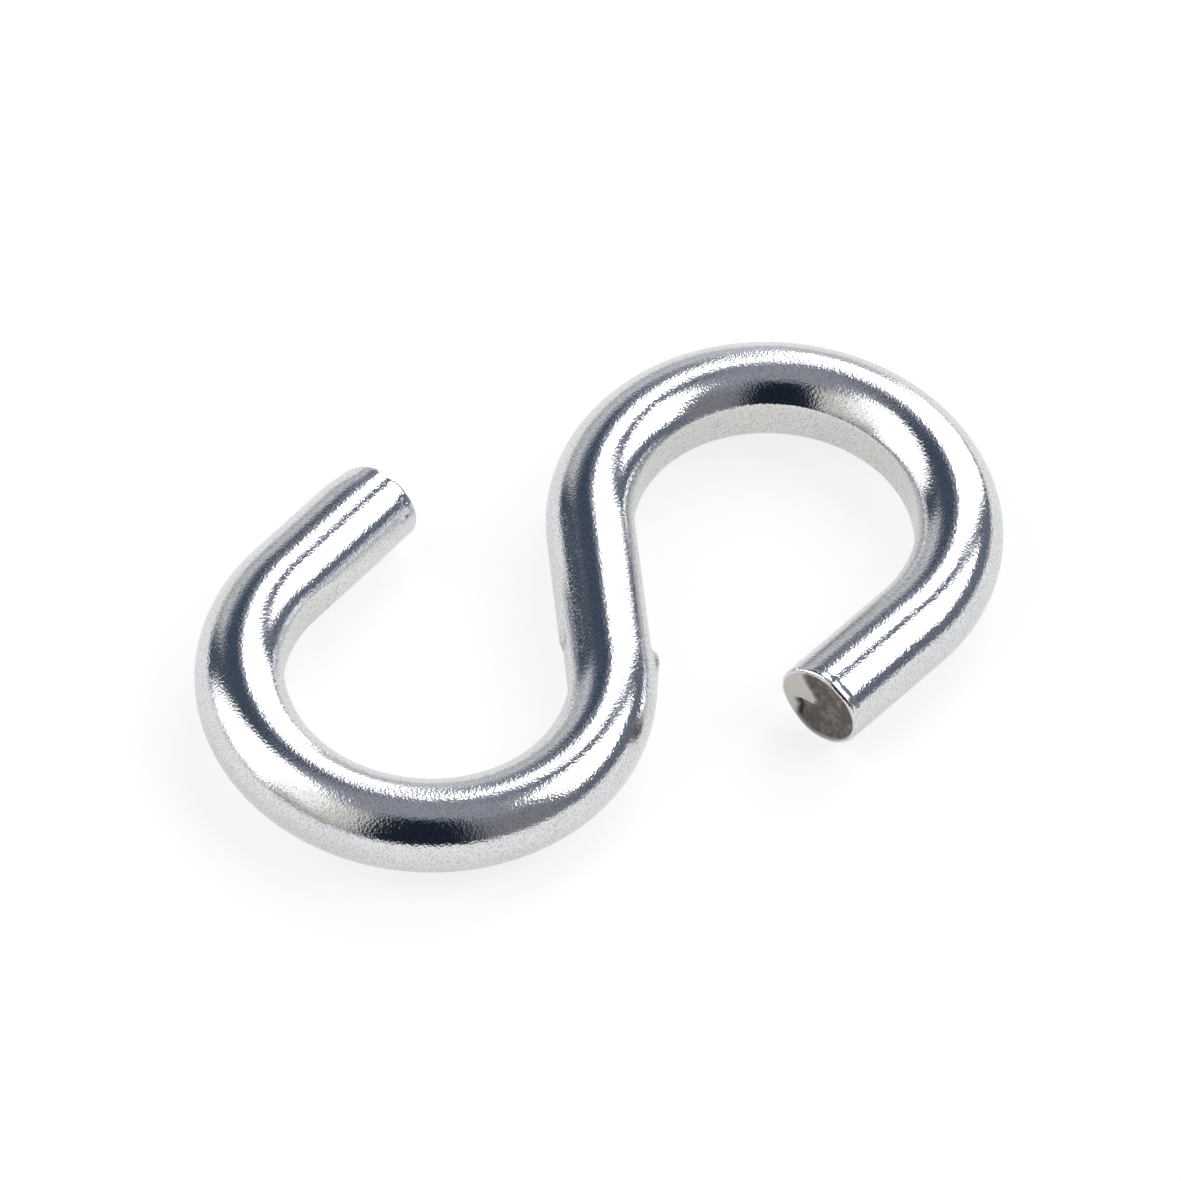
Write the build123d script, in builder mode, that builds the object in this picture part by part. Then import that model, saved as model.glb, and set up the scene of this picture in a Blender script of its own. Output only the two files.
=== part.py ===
from build123d import *
from math import atan2, degrees, sqrt
import os

# An open S hook: one length of round wire, sheared off at both ends, with each end
# wound round the same forming pin, the second bow the opposite way round to the first.
# It lies flat, with Z up and its lowest line on Z = 0. X runs from the left bow to
# the right bow, and the origin is under the middle of the whole hook.

# Driving dimensions, in millimetres and degrees
wire_diameter = 5.5
bow_radius = 10.9  # of the wire's centreline
shank_length = 10.4  # of the straight wire between the two bows
right_wrap = 227.5  # how far the wire turns round each bow
left_wrap = 224.6
right_tip_length = 8.5  # of the straight wire past each bow
left_tip_length = 8.9
shear_tilt = 5.0  # lean of the cut ends from square
edge_roll = 0.22  # rounding where the shear drags the wire's skin over
flat_width = 2.4  # of the band that the forming pin presses into each bow
right_flat_run = 9.6  # how far each bow's band goes on along the shank
left_flat_run = 2.6

# The pin bites into the round wire just deep enough to leave a band of that width
wire_radius = wire_diameter / 2
flat_depth = wire_radius - sqrt(wire_radius**2 - (flat_width / 2) ** 2)
pin_radius = bow_radius - wire_radius + flat_depth

# This heading of the shank puts the two bow centres on one line along X
half_shank = shank_length / 2
shank_heading = degrees(atan2(bow_radius, half_shank))

# Waste past each cut, long enough for the lean
shear_waste = wire_diameter

halves = [
    (0, right_wrap, right_tip_length, right_flat_run),
    (180, left_wrap, left_tip_length, left_flat_run),
]

with BuildPart() as bent_wire:
    # Each half of the wire, from the middle of the shank out to its sheared end
    bands = []
    for turn, wrap, tip_length, flat_run in halves:
        with BuildLine():
            shank = PolarLine((0, 0), half_shank, shank_heading + turn)
            bow = JernArc(shank @ 1, shank % 1, bow_radius, -wrap)
            PolarLine(bow @ 1, tip_length + shear_waste, direction=bow % 1)
        with BuildSketch(Plane(shank @ 0, z_dir=shank % 0)):
            Circle(wire_radius)
        sweep()

        # The shear leans in the plane of the hook
        cut_point = bow @ 1 + (bow % 1) * tip_length
        cut_normal = (bow % 1).rotate(Axis.Z, shear_tilt)
        with BuildSketch(Plane(cut_point, z_dir=cut_normal)):
            Circle(wire_diameter)
        extrude(amount=2 * shear_waste, mode=Mode.SUBTRACT)
        cut_face = faces().sort_by_distance(cut_point)[0]
        fillet(cut_face.edges(), edge_roll)
        bands.append((Plane(shank @ 1, x_dir=shank % 1, z_dir=(0, 0, 1)), flat_run))

    # The band inside each bow runs on along the shank, and ends there in a step
    for bow_start, flat_run in bands:
        with BuildSketch(bow_start):
            with Locations((0, -bow_radius)):
                Circle(pin_radius)
            with Locations((0, flat_depth - wire_radius)):
                Rectangle(flat_run, wire_radius, align=(Align.MAX, Align.MAX))
        extrude(amount=wire_radius, both=True, mode=Mode.SUBTRACT)

# Laid on the floor with the origin under the middle of its outline
outline = bent_wire.part.bounding_box()
with BuildPart() as s_hook:
    with Locations((-outline.center().X, -outline.center().Y, wire_radius)):
        add(bent_wire.part)

os.makedirs("parts", exist_ok=True)
s_hook.part.label = "s_hook"
export_step(s_hook.part, "parts/s_hook.step")
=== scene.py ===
import math

import bpy
import numpy as np
from mathutils import Euler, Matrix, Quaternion, Vector


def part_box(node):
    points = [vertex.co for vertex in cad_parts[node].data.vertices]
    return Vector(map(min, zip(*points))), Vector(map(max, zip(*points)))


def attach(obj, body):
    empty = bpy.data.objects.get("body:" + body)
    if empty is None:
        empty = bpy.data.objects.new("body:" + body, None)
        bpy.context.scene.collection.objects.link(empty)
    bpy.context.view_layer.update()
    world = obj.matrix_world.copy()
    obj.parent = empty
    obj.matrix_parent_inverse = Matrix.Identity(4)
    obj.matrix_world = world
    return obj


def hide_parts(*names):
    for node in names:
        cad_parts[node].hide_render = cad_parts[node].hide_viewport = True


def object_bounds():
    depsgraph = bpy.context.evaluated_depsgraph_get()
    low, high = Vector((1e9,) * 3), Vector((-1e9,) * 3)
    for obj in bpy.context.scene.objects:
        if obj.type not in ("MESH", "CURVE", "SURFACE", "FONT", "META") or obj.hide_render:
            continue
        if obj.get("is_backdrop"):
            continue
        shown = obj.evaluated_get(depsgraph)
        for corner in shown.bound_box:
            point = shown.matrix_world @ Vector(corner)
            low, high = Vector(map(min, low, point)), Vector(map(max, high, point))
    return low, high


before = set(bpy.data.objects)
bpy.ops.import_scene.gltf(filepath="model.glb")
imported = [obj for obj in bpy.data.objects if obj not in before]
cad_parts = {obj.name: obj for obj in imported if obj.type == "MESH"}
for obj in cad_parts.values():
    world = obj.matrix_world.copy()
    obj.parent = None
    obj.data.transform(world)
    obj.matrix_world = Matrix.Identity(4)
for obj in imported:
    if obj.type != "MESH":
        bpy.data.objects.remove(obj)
cadBox = [list(corner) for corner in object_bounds()]
lowCorner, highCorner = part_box("s_hook")
mm = 0.001
print("stage 1: frame loaded")


# ---------- shader expressions ----------
class Field:  # one socket of a node tree, with arithmetic on it
    def __init__(self, graph, socket):
        self.graph, self.socket = graph, socket

    def math(self, operation, *others):
        return self.graph.node("ShaderNodeMath", {"operation": operation}, dict(enumerate((self, *others))))

    def __add__(self, other): return self.math("ADD", other)
    def __sub__(self, other): return self.math("SUBTRACT", other)
    def __mul__(self, other): return self.math("MULTIPLY", other)
    def __truediv__(self, other): return self.math("DIVIDE", other)
    def __rsub__(self, other): return self.graph.node("ShaderNodeMath", {"operation": "SUBTRACT"}, {0: other, 1: self})
    __radd__, __rmul__ = __add__, __mul__

    def above(self, edge, soft):  # 0 below the edge, 1 above it, easing over the width soft
        return self.graph.node("ShaderNodeMapRange", {"interpolation_type": "SMOOTHSTEP"},
                               {0: self, 1: edge - soft / 2, 2: edge + soft / 2, 3: 0.0, 4: 1.0})

    def between(self, low, high, soft):
        return self.above(low, soft) * (1 - self.above(high, soft))


class Graph:  # one node tree, emptied, with a single way to add a node
    def __init__(self, tree):
        self.tree = tree
        tree.nodes.clear()

    def node(self, kind, settings=None, inputs=None, output=0):
        made = self.tree.nodes.new(kind)
        for name, value in (settings or {}).items():
            setattr(made, name, value)
        for key, value in (inputs or {}).items():
            if isinstance(value, Field):
                self.tree.links.new(value.socket, made.inputs[key])
            else:
                made.inputs[key].default_value = value
        return Field(self, made.outputs[output])

    def finish(self, kind, shader):  # the tree's output node
        self.tree.links.new(shader.socket, self.tree.nodes.new(kind).inputs[0])

    def mix(self, factor, first, second):  # colour from first to second
        return self.node("ShaderNodeMix", {"data_type": "RGBA"}, {0: factor, 6: first, 7: second}, output=2)

    def noise(self, vector, scale, detail=2.0, roughness=0.5):
        return self.node("ShaderNodeTexNoise", {"noise_dimensions": "3D"},
                         {"Vector": vector, "Scale": scale, "Detail": detail, "Roughness": roughness})


def newMaterial(name):
    material = bpy.data.materials.new(name)
    material.use_nodes = True
    return material, Graph(material.node_tree)


# ---------- the bent wire ----------
wire = {
    "radius": (highCorner[2] - lowCorner[2]) / 2,
    "bowRadius": 10.9 * mm,  # of the centreline
    "shankLength": 10.4 * mm,
    "wrap": {1: math.radians(227.5), -1: math.radians(224.6)},  # right bow, left bow
    "tipLength": {1: 8.5 * mm, -1: 8.9 * mm},
    "shearTilt": math.radians(5.0),
    "edgeRoll": 0.22 * mm,
    "flatDepth": 0.275 * mm,  # of the band pressed inside each bow
    "flatRun": {1: 9.6 * mm, -1: 2.6 * mm},  # how far each bow's band goes on along the shank
    "flatEdge": 0.02 * mm,  # softness of the band's edges
    "sideShift": -0.154 * mm,  # sets the middle of the outline over the origin
    "alongStep": 0.22 * mm,
    "aroundSteps": 160,
    "capRings": 26,
    "lipRings": 1,  # outermost rings, plated like the wire
}

# Small marks left by the tools: side of the wire's middle, distance from the middle along the
# wire, angle round the wire from its left side, reach along and round, and height
toolMarks = [
    {"at": -4.95, "angle": 168, "along": 0.6, "around": 0.45, "height": 0.19},
    {"at": -5.5, "angle": 166, "along": 0.9, "around": 0.26, "height": 0.12},
    {"at": -5.6, "angle": 17, "along": 0.9, "around": 0.13, "height": -0.15},
    {"at": -6.3, "angle": 9, "along": 0.35, "around": 0.35, "height": 0.07},
]
endMarks = [
    {"back": 0.0, "angle": 222, "along": 1.5, "around": 1.5, "height": -0.26},
    {"back": 0.62, "angle": -4, "along": 0.22, "around": 0.20, "height": -0.12},
    {"back": 0.85, "angle": -22, "along": 0.34, "around": 0.16, "height": -0.12},
    {"back": 0.45, "angle": -40, "along": 0.25, "around": 0.30, "height": -0.07},
    {"back": 0.42, "angle": 40, "along": 0.13, "around": 1.9, "height": -0.07},
    {"back": 0.15, "angle": 60, "along": 0.25, "around": 0.5, "height": -0.08},
]


# Where the centreline is and where it heads, at signed distances from the shank's middle:
# straight for half the shank, round an arc, then straight again; the left half is the right
# half's formula turned by half a turn
def centreline(distance):
    side = np.where(distance < 0, -1, 1)
    run = np.abs(distance)
    half = wire["shankLength"] / 2
    radius = wire["bowRadius"]
    start = math.atan2(radius, half)
    wrap = np.where(side > 0, wire["wrap"][1], wire["wrap"][-1])
    turned = np.clip((run - half) / radius, 0, wrap)
    straight = np.minimum(run, half)
    past = np.maximum(run - half - radius * wrap, 0)
    heading = start - turned
    x = straight * math.cos(start) + radius * (math.sin(start) - np.sin(heading)) + past * np.cos(heading)
    y = straight * math.sin(start) - radius * (math.cos(start) - np.cos(heading)) + past * np.sin(heading)
    return side * x, side * y, heading


# How far the forming pin lets the wire reach towards one bow's centre: the full radius where
# the pin doesn't touch, less the band's depth where it does, and the pin's own circle past the bow
def pinLimit(distance, side):
    run = distance * side
    half = wire["shankLength"] / 2
    radius, depth = wire["radius"], wire["flatDepth"]
    bowEnd = half + wire["bowRadius"] * wire["wrap"][side]
    pinRadius = wire["bowRadius"] - radius + depth
    past = np.clip(run - bowEnd, 0, pinRadius * 0.9)
    limit = wire["bowRadius"] - np.sqrt(pinRadius**2 - past**2)
    away = np.clip((half - wire["flatRun"][side] - run) / (0.25 * mm), 0, 1)
    limit = limit + (radius - limit + 0.3 * mm) * away * away * (3 - 2 * away)
    return np.where(past >= pinRadius * 0.85, radius + 1 * mm, limit)


# The smaller of two values with a rounded corner between them
def softMinimum(value, limit, softness):
    return limit - softness * np.logaddexp(0, (limit - value) / softness)


# Smooth random values in -1 to 1 on a square, from a coarse lattice eased between its points
def latticeNoise(x, y, cell, seed):
    lattice = np.random.default_rng(seed).uniform(-1, 1, (64, 64))
    px, py = x / cell + 1000, y / cell + 1000
    ix, iy = np.floor(px).astype(int), np.floor(py).astype(int)
    fx, fy = px - ix, py - iy
    fx, fy = fx * fx * (3 - 2 * fx), fy * fy * (3 - 2 * fy)
    corner = lambda dx, dy: lattice[(ix + dx) % 64, (iy + dy) % 64]
    low = corner(0, 0) * (1 - fx) + corner(1, 0) * fx
    high = corner(0, 1) * (1 - fx) + corner(1, 1) * fx
    return low * (1 - fy) + high * fy


def eased(value, low, high):
    share = np.clip((value - low) / (high - low), 0, 1)
    return share * share * (3 - 2 * share)


# One sheared face on a grid of rings: across runs to the wire's left, up runs upwards, both as
# shares of the radius. Returns how far each point stands back from the cut's plane, how far
# it is torn rather than burnished, and how far it lies in a crack, whose near-black colour is painted shade
def shearedFace(across, up, seed):
    radius = wire["radius"]
    x, y = across * radius, up * radius
    ragged = 0.05 * latticeNoise(y, x * 0, 0.5 * mm, seed) + 0.03 * latticeNoise(y, x * 0, 0.2 * mm, seed + 1)
    border = -0.50 + 0.42 * eased(-up, -0.75, -0.10) - 0.40 * eased(-up, -0.02, 0.06) + ragged
    torn = eased(across - border, -0.03, 0.05)
    grain = (latticeNoise(x, y, 0.42 * mm, seed + 2) + 0.6 * latticeNoise(x, y, 0.2 * mm, seed + 3)
             + 0.35 * latticeNoise(x, y, 0.11 * mm, seed + 4))
    streaks = latticeNoise(x * 2.6, y * 0.8, 0.5 * mm, seed + 5)
    rim = np.hypot(across, up)
    inside = 1 - eased(rim, 0.90, 0.97)
    gap = np.exp(-((across - border) / 0.05) ** 2)
    # the crack is cut in as a recess below and painted near black as shade by the sheared finish
    shadedCrack = gap * eased(latticeNoise(y, x * 0, 0.8 * mm, seed + 6), -0.35, 0.05) * inside
    back = inside * (0.01 * mm + torn * (0.20 * mm + 0.05 * mm * grain) + (1 - torn) * 0.015 * mm * streaks)
    return back + shadedCrack * 0.22 * mm, torn * inside, shadedCrack


def makeHook():
    radius, roll = wire["radius"], wire["edgeRoll"]
    half = wire["shankLength"] / 2
    reach = {side: half + wire["bowRadius"] * wire["wrap"][side] + wire["tipLength"][side] for side in (1, -1)}
    lean = math.tan(wire["shearTilt"])
    rows = int((reach[1] + reach[-1]) / wire["alongStep"])
    angle = np.arange(wire["aroundSteps"]) * 2 * math.pi / wire["aroundSteps"]

    # The wire's side, from the left end to the right end; the rows crowd towards both ends
    spread = np.linspace(-1, 1, rows)
    spread = spread * (1.25 - 0.25 * spread**2)
    middle = (reach[1] - reach[-1]) / 2
    distance = middle + spread * ((reach[1] + reach[-1]) / 2 - roll)
    edgeTurns = np.linspace(0, math.pi / 2, 7)[1:]  # over the rolled edge
    leftEdge = -reach[-1] + roll - roll * np.sin(edgeTurns[::-1])
    rightEdge = reach[1] - roll + roll * np.sin(edgeTurns)
    distance = np.concatenate([leftEdge, distance, rightEdge])
    inset = np.concatenate([roll * (1 - np.cos(edgeTurns[::-1])), np.zeros(rows), roll * (1 - np.cos(edgeTurns))])

    along, around = np.meshgrid(distance, angle, indexing="ij")
    size = radius - inset[:, None] + 0 * along
    for mark in toolMarks:
        bump = np.exp(-((along - mark["at"] * mm) / (mark["along"] * mm)) ** 2)
        turn = (around - math.radians(mark["angle"]) + math.pi) % (2 * math.pi) - math.pi
        size = size + mark["height"] * mm * bump * np.exp(-(turn * radius / (mark["around"] * mm)) ** 2)
    for mark in endMarks:
        for side in (1, -1):
            at = side * (reach[side] - mark["back"] * mm)
            turn = (around - math.radians(mark["angle"]) * side + math.pi) % (2 * math.pi) - math.pi
            bump = np.exp(-((along - at) / (mark["along"] * mm)) ** 2 - (turn * radius / (mark["around"] * mm)) ** 2)
            size = size + mark["height"] * mm * bump
    across, up = size * np.cos(around), size * np.sin(around)
    pressed = 0 * along
    for side in (1, -1):
        limit = pinLimit(along, side) - inset[:, None]
        kept = softMinimum(-side * across, limit, wire["flatEdge"])
        pressed = np.maximum(pressed, eased(-side * across - kept, 0.0, 0.05 * mm))
        across = -side * kept

    # Both cut faces, as rings closing on the middle
    shares = np.linspace(1, 0, wire["capRings"] + 1)[1:-1]
    caps = {}
    for side in (1, -1):
        rimAcross = across[-1 if side > 0 else 0]
        rimUp = up[-1 if side > 0 else 0]
        capAcross, capUp = shares[:, None] * rimAcross, shares[:, None] * rimUp
        back, torn, shadedCrack = shearedFace(capAcross / radius * side, capUp / radius, 11 if side > 0 else 29)
        caps[side] = (capAcross, capUp, side * (reach[side] - back), torn, shadedCrack)

    def place(run, sideways, height):
        # the lean of each cut fades out along the last stretch of wire
        x, y, heading = centreline(run)
        ends = eased(run, reach[1] - 2.5 * mm, reach[1]) - eased(-run, reach[-1] - 2.5 * mm, reach[-1])
        forward = -lean * sideways * np.abs(ends) * 1.0
        px = x - sideways * np.sin(heading) + forward * np.cos(heading)
        py = y + sideways * np.cos(heading) + forward * np.sin(heading)
        return np.stack([px, py + wire["sideShift"], height + radius], axis=-1)

    body = place(along, across, up)
    rightCap = place(caps[1][2], caps[1][0], caps[1][1])
    leftCap = place(caps[-1][2], caps[-1][0], caps[-1][1])[::-1]
    grid = np.concatenate([leftCap, body, rightCap])
    columns = wire["aroundSteps"]
    middlePoints = np.stack([place(np.array([side * (reach[side] - 0.2 * mm)]), np.zeros(1), np.zeros(1))[0]
                             for side in (-1, 1)])
    points = np.concatenate([grid.reshape(-1, 3), middlePoints])

    zero = np.zeros(along.shape)
    stack = lambda left, centre, right, poles: np.concatenate(
        [np.concatenate([left[::-1], centre, right]).ravel(), np.full(2, poles)])
    torn = stack(caps[-1][3], zero, caps[1][3], 1.0)
    shadedCrack = stack(caps[-1][4], zero, caps[1][4], 0.0)
    flat = stack(0 * caps[-1][3], pressed, 0 * caps[1][3], 0.0)

    index = np.arange(len(grid) * columns).reshape(len(grid), columns)
    right = np.roll(index, -1, axis=1)
    quads = np.stack([index[:-1], index[1:], right[1:], right[:-1]], axis=-1).reshape(-1, 4)
    leftPole = np.full(columns, len(grid) * columns)
    leftFan = np.stack([leftPole, index[0], right[0]], axis=-1)
    rightFan = np.stack([leftPole + 1, right[-1], index[-1]], axis=-1)

    mesh = bpy.data.meshes.new("bentWire")
    corners = np.concatenate([quads.ravel(), leftFan.ravel(), rightFan.ravel()])
    counts = np.concatenate([np.full(len(quads), 4), np.full(2 * columns, 3)])
    mesh.vertices.add(len(points))
    mesh.vertices.foreach_set("co", points.ravel())
    mesh.loops.add(len(corners))
    mesh.loops.foreach_set("vertex_index", corners.astype(np.int32))
    mesh.polygons.add(len(counts))
    mesh.polygons.foreach_set("loop_start", np.concatenate([[0], np.cumsum(counts)[:-1]]).astype(np.int32))
    capRows = wire["capRings"]
    faceRow = np.repeat(np.arange(len(grid) - 1), columns)
    lip = wire["lipRings"]
    onCap = (faceRow < capRows - lip) | (faceRow >= len(grid) - capRows + lip - 1)
    slots = np.concatenate([onCap, np.ones(2 * columns)]).astype(np.int32)
    mesh.polygons.foreach_set("material_index", slots)
    mesh.polygons.foreach_set("use_smooth", np.ones(len(counts), dtype=bool))

    # the wire's own map: length along it and length round it, in metres
    wireMap = mesh.uv_layers.new(name="wireMap")
    runAll = np.concatenate([np.repeat(np.full(capRows - 1, distance[0]), columns), along.ravel(),
                             np.repeat(np.full(capRows - 1, distance[-1]), columns), [distance[0], distance[-1]]])
    turnAll = np.concatenate([np.tile(angle, len(grid)), [0, 0]]) * radius
    turns = turnAll[corners].reshape(-1)
    seam = np.concatenate([np.tile([False, False, True, True], len(quads)), np.zeros(6 * columns, dtype=bool)])
    turns = np.where(seam & (turns == 0), 2 * math.pi * radius, turns)
    wireMap.data.foreach_set("uv", np.stack([runAll[corners], turns], axis=-1).ravel())
    for name, values in (("torn", torn), ("shadedCrack", shadedCrack), ("pressed", flat)):
        attribute = mesh.attributes.new(name, "FLOAT", "POINT")
        attribute.data.foreach_set("value", values)
    mesh.update()
    mesh.validate()
    piece = bpy.data.objects.new("bent_wire", mesh)
    bpy.context.scene.collection.objects.link(piece)
    return piece


# ---------- finishes ----------
zincPlate = {
    "bright": (0.84, 0.85, 0.87, 1),
    "cool": (0.79, 0.80, 0.82, 1),
    "pressedTint": (0.80, 0.79, 0.75, 1),
    "speck": (0.45, 0.47, 0.50, 1),
    "speckShare": 0.6,
    "roughness": 0.07,
    "pebble": 0.10 * mm,
    "pebbleDepth": 0.014 * mm,
}

shearedSteel = {
    "torn": (0.16, 0.14, 0.13, 1),
    "tornPale": (0.32, 0.29, 0.27, 1),
    "burnished": (0.70, 0.68, 0.65, 1),
    # near black: painted shade inside the cracks of the cut face
    "shadedCrack": (0.01, 0.01, 0.01, 1),
}


def makeZincPlate():
    material, graph = newMaterial("zincPlate")
    place = graph.node("ShaderNodeTexCoord", output=3)
    along = graph.node("ShaderNodeUVMap", {"uv_map": "wireMap"})
    stretched = graph.node("ShaderNodeVectorMath", {"operation": "MULTIPLY"}, {0: along, 1: (120.0, 2600.0, 0.0)})
    streaks = graph.noise(stretched, 1.0, 3.0, 0.6)
    pebble = graph.noise(place, 0.7 / zincPlate["pebble"], 1.0, 0.5)
    speck = graph.noise(place, 0.75 / zincPlate["pebble"], 2.0, 0.7)
    waves = graph.noise(place, 450.0, 2.0, 0.5)
    patches = graph.noise(place, 160.0, 3.0, 0.6)
    pressed = graph.node("ShaderNodeAttribute", {"attribute_name": "pressed"}, output=2)
    tone = graph.mix(patches.above(0.5, 0.5), zincPlate["bright"], zincPlate["cool"])
    tone = graph.mix(pressed * 0.7, tone, zincPlate["pressedTint"])
    specks = speck.above(0.55, 0.10)
    tone = graph.mix(specks * zincPlate["speckShare"], tone, zincPlate["speck"])
    roughness = zincPlate["roughness"] + 0.06 * streaks.above(0.55, 0.3) + 0.06 * pressed
    height = pebble + 0.08 * streaks + 0.4 * waves
    bump = graph.node("ShaderNodeBump", {}, {"Strength": 1.0, "Distance": zincPlate["pebbleDepth"], "Height": height})
    shader = graph.node("ShaderNodeBsdfPrincipled", {}, {
        "Base Color": tone, "Metallic": 1.0, "Roughness": roughness, "Normal": bump})
    graph.finish("ShaderNodeOutputMaterial", shader)
    return material


def makeShearedSteel():
    material, graph = newMaterial("shearedSteel")
    place = graph.node("ShaderNodeTexCoord", output=3)
    torn = graph.node("ShaderNodeAttribute", {"attribute_name": "torn"}, output=2)
    shadedCrack = graph.node("ShaderNodeAttribute", {"attribute_name": "shadedCrack"}, output=2)
    grain = graph.noise(place, 2200.0, 4.0, 0.7)
    blotch = graph.noise(place, 900.0, 2.0, 0.5)
    rough = graph.mix((0.75 * grain + 0.25 * blotch).above(0.54, 0.22), shearedSteel["torn"], shearedSteel["tornPale"])
    tone = graph.mix(torn, shearedSteel["burnished"], rough)
    # the cracks are painted near black: painted shade in the recess, not the steel's own colour
    tone = graph.mix(shadedCrack, tone, shearedSteel["shadedCrack"])
    bump = graph.node("ShaderNodeBump", {}, {"Strength": 1.0, "Distance": 0.08 * mm, "Height": grain + blotch})
    shader = graph.node("ShaderNodeBsdfPrincipled", {}, {
        "Base Color": tone, "Metallic": 0.6, "Roughness": 0.42 + 0.2 * torn, "Normal": bump})
    graph.finish("ShaderNodeOutputMaterial", shader)
    return material


hook = makeHook()
hook.data.materials.append(makeZincPlate())
hook.data.materials.append(makeShearedSteel())
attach(hook, "root")
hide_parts("s_hook")
print("stage 2: hook", len(hook.data.vertices), "points")


# ---------- camera ----------
view = {
    "azimuth": math.radians(-34.46),
    "elevation": math.radians(50.65),
    "roll": math.radians(4.32),
    "distance": 0.825,
    "lens": 424.2,
    "target": Vector((-0.045, 1.007, 2.75)) * mm,
}


def makeCamera():
    azimuth, elevation = view["azimuth"], view["elevation"]
    back = Vector((math.sin(azimuth) * math.cos(elevation), -math.cos(azimuth) * math.cos(elevation),
                   math.sin(elevation)))
    camera = bpy.data.objects.new("camera", bpy.data.cameras.new("camera"))
    camera.data.lens, camera.data.sensor_width = view["lens"], 36.0
    camera.data.clip_start, camera.data.clip_end = 0.01, 20.0
    camera.location = view["target"] + back * view["distance"]
    camera.rotation_mode = "QUATERNION"
    level = Euler((math.pi / 2 - elevation, 0, azimuth)).to_quaternion()
    camera.rotation_quaternion = level @ Quaternion((0, 0, 1), view["roll"])
    bpy.context.scene.collection.objects.link(camera)
    bpy.context.scene.camera = camera


makeCamera()

# ---------- floor and studio ----------
# The room is named in degrees: turn is measured to the right from straight ahead of the main
# view, height above the horizon. Each light or dark panel has its span, softness and colour
studio = {
    "room": (0.29, 0.30, 0.34, 1),
    "panels": [
        {"turn": (-200, 200), "height": (-90, 2), "soft": (10, 12), "colour": (0.46, 0.455, 0.43)},
        {"turn": (-50, 24), "height": (-90, 27), "soft": (16, 10), "colour": (0.60, 0.61, 0.64)},
        {"turn": (-58, -10), "height": (-90, 14), "soft": (16, 10), "colour": (0.50, 0.50, 0.50)},
        {"turn": (30, 116), "height": (-6, 28), "soft": (12, 8), "colour": (0.15, 0.17, 0.21)},
        {"turn": (112, 160), "height": (2, 50), "soft": (20, 20), "colour": (0.22, 0.22, 0.24)},
        {"turn": (-66, -12), "height": (31, 66), "soft": (10, 16), "colour": (0.06, 0.08, 0.115)},
        {"turn": (-67, -47), "height": (-2, 60), "soft": (8, 14), "colour": (0.07, 0.09, 0.12)},
        {"turn": (32, 44), "height": (-10, 6), "soft": (6, 8), "colour": (0.07, 0.08, 0.11)},
        {"turn": (152, 208), "height": (-2, 66), "soft": (16, 16), "colour": (0.012, 0.018, 0.03)},
        {"turn": (-208, -157), "height": (-2, 66), "soft": (14, 16), "colour": (0.012, 0.018, 0.03)},
        {"turn": (-156, -118), "height": (8, 58), "soft": (14, 22), "colour": (0.66, 0.64, 0.59)},
        {"turn": (-136, -66), "height": (22, 60), "soft": (12, 16), "colour": (1.1, 1.08, 1.04)},
        {"turn": (-114, -66), "height": (5, 68), "soft": (8, 10), "colour": (1.7, 1.7, 1.7)},
        {"turn": (1, 33), "height": (24, 61), "soft": (8, 8), "colour": (3.4, 3.4, 3.4)},
        {"turn": (16, 40), "height": (8, 44), "soft": (7, 10), "colour": (3.4, 3.4, 3.4)},
        {"turn": (57, 104), "height": (27, 62), "soft": (6, 8), "colour": (3.4, 3.4, 3.4)},
        {"turn": (33, 57), "height": (47, 74), "soft": (6, 6), "colour": (0.16, 0.18, 0.22)},
    ],
    "floorColour": (0.77, 0.755, 0.72, 1),
    "seenFloorColour": (0.97, 0.97, 0.97, 1),
    "cameraLift": 0.70,
    "glossLift": 0.52,
    "plainLevel": 1.1,
}


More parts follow.
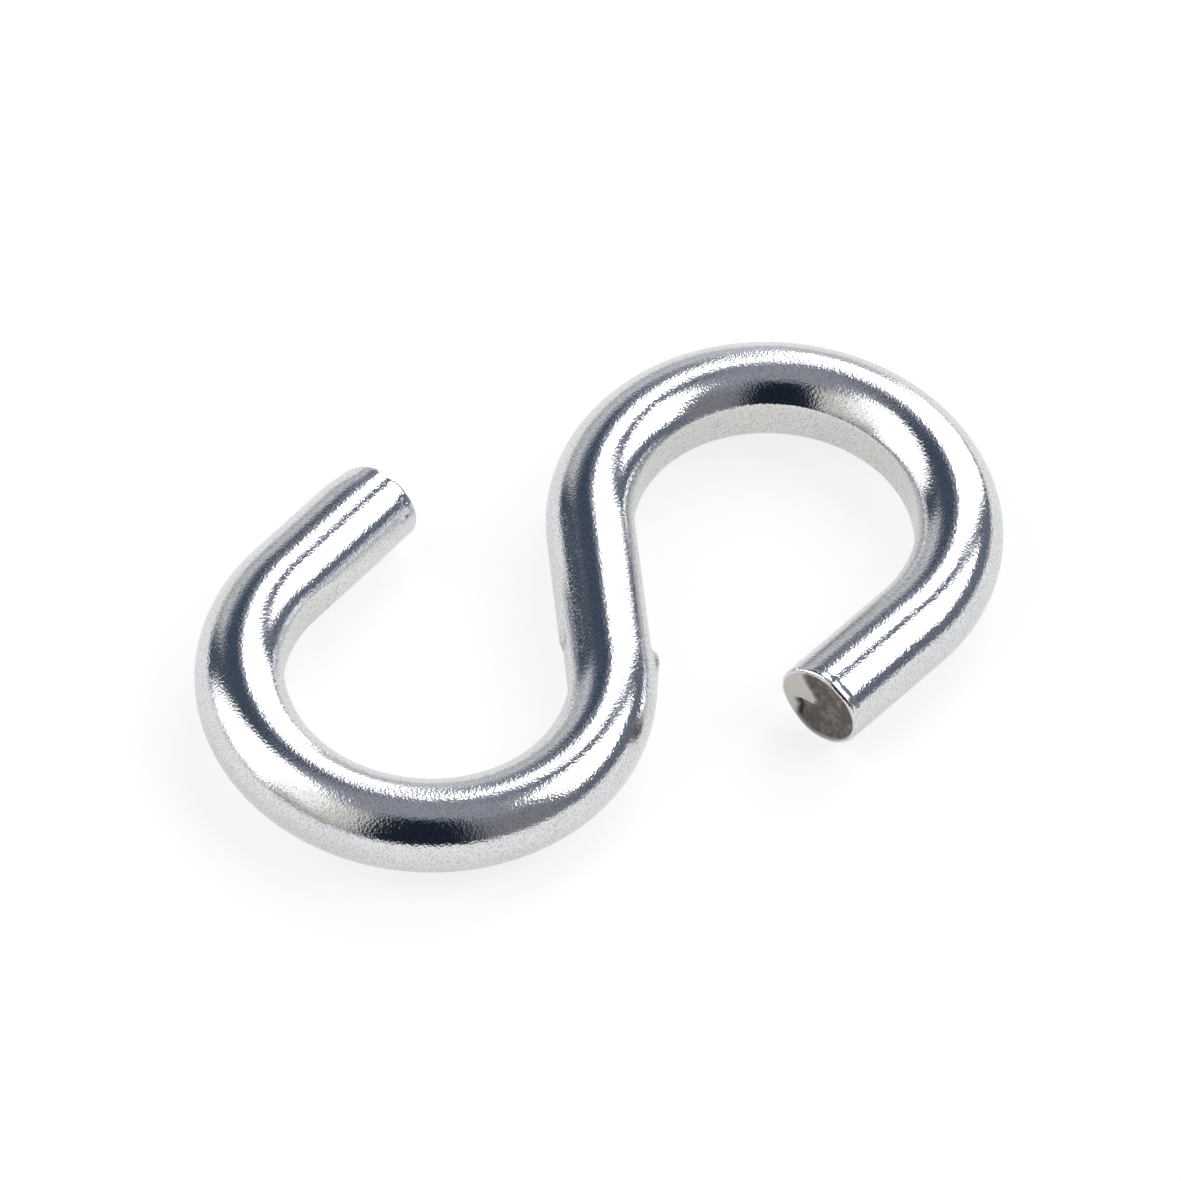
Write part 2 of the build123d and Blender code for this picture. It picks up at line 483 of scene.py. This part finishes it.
def makeStudio():
    world = bpy.data.worlds.new("studio")
    bpy.context.scene.world = world
    world.use_nodes = True
    graph = Graph(world.node_tree)
    direction = graph.node("ShaderNodeTexCoord", output=0)
    turned = graph.node("ShaderNodeVectorRotate", {"rotation_type": "Z_AXIS"},
                        {"Vector": direction, "Angle": -view["azimuth"]})
    split = graph.node("ShaderNodeSeparateXYZ", {}, {0: turned})
    parts = [Field(graph, socket) for socket in split.socket.node.outputs]
    turn = parts[0].math("ARCTAN2", parts[1]) * math.degrees(1)
    height = parts[2].math("ARCSINE") * math.degrees(1)
    light = studio["room"]
    for panel in studio["panels"]:
        mask = (turn.between(*panel["turn"], panel["soft"][0])
                * height.between(*panel["height"], panel["soft"][1]))
        light = graph.mix(mask, light, (*panel["colour"], 1))
    seen = graph.node("ShaderNodeLightPath", output=0)
    light = graph.mix(seen, light, (1, 1, 1, 1))
    background = graph.node("ShaderNodeBackground", {}, {"Color": light, "Strength": 1.0})
    graph.finish("ShaderNodeOutputWorld", background)


def makeFloor():
    material, graph = newMaterial("paleFloor")
    path = graph.node("ShaderNodeLightPath").socket.node
    seen, gloss, through = (Field(graph, path.outputs[name]) for name in
                            ("Is Camera Ray", "Is Glossy Ray", "Is Transmission Ray"))
    tone = graph.mix(seen, studio["floorColour"], studio["seenFloorColour"])
    matt = graph.node("ShaderNodeBsdfDiffuse", {}, {"Color": tone})
    plain = graph.node("ShaderNodeEmission", {}, {"Color": (1, 1, 1, 1), "Strength": studio["plainLevel"]})
    lift = seen * studio["cameraLift"] + (gloss + through) * studio["glossLift"]
    mixed = graph.node("ShaderNodeMixShader", {}, {0: lift, 1: matt, 2: plain})
    graph.finish("ShaderNodeOutputMaterial", mixed)
    size = 3.0
    mesh = bpy.data.meshes.new("floor")
    mesh.from_pydata([(-size, -size, 0), (size, -size, 0), (size, size, 0), (-size, size, 0)], [], [(0, 1, 2, 3)])
    mesh.materials.append(material)
    floor = bpy.data.objects.new("floor", mesh)
    bpy.context.scene.collection.objects.link(floor)
    floor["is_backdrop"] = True


makeFloor()
makeStudio()
bpy.context.scene.view_settings.view_transform = "Standard"
print("stage 3: camera, floor and studio")

{"cad": cadBox, "visual": [list(corner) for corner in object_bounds()]}
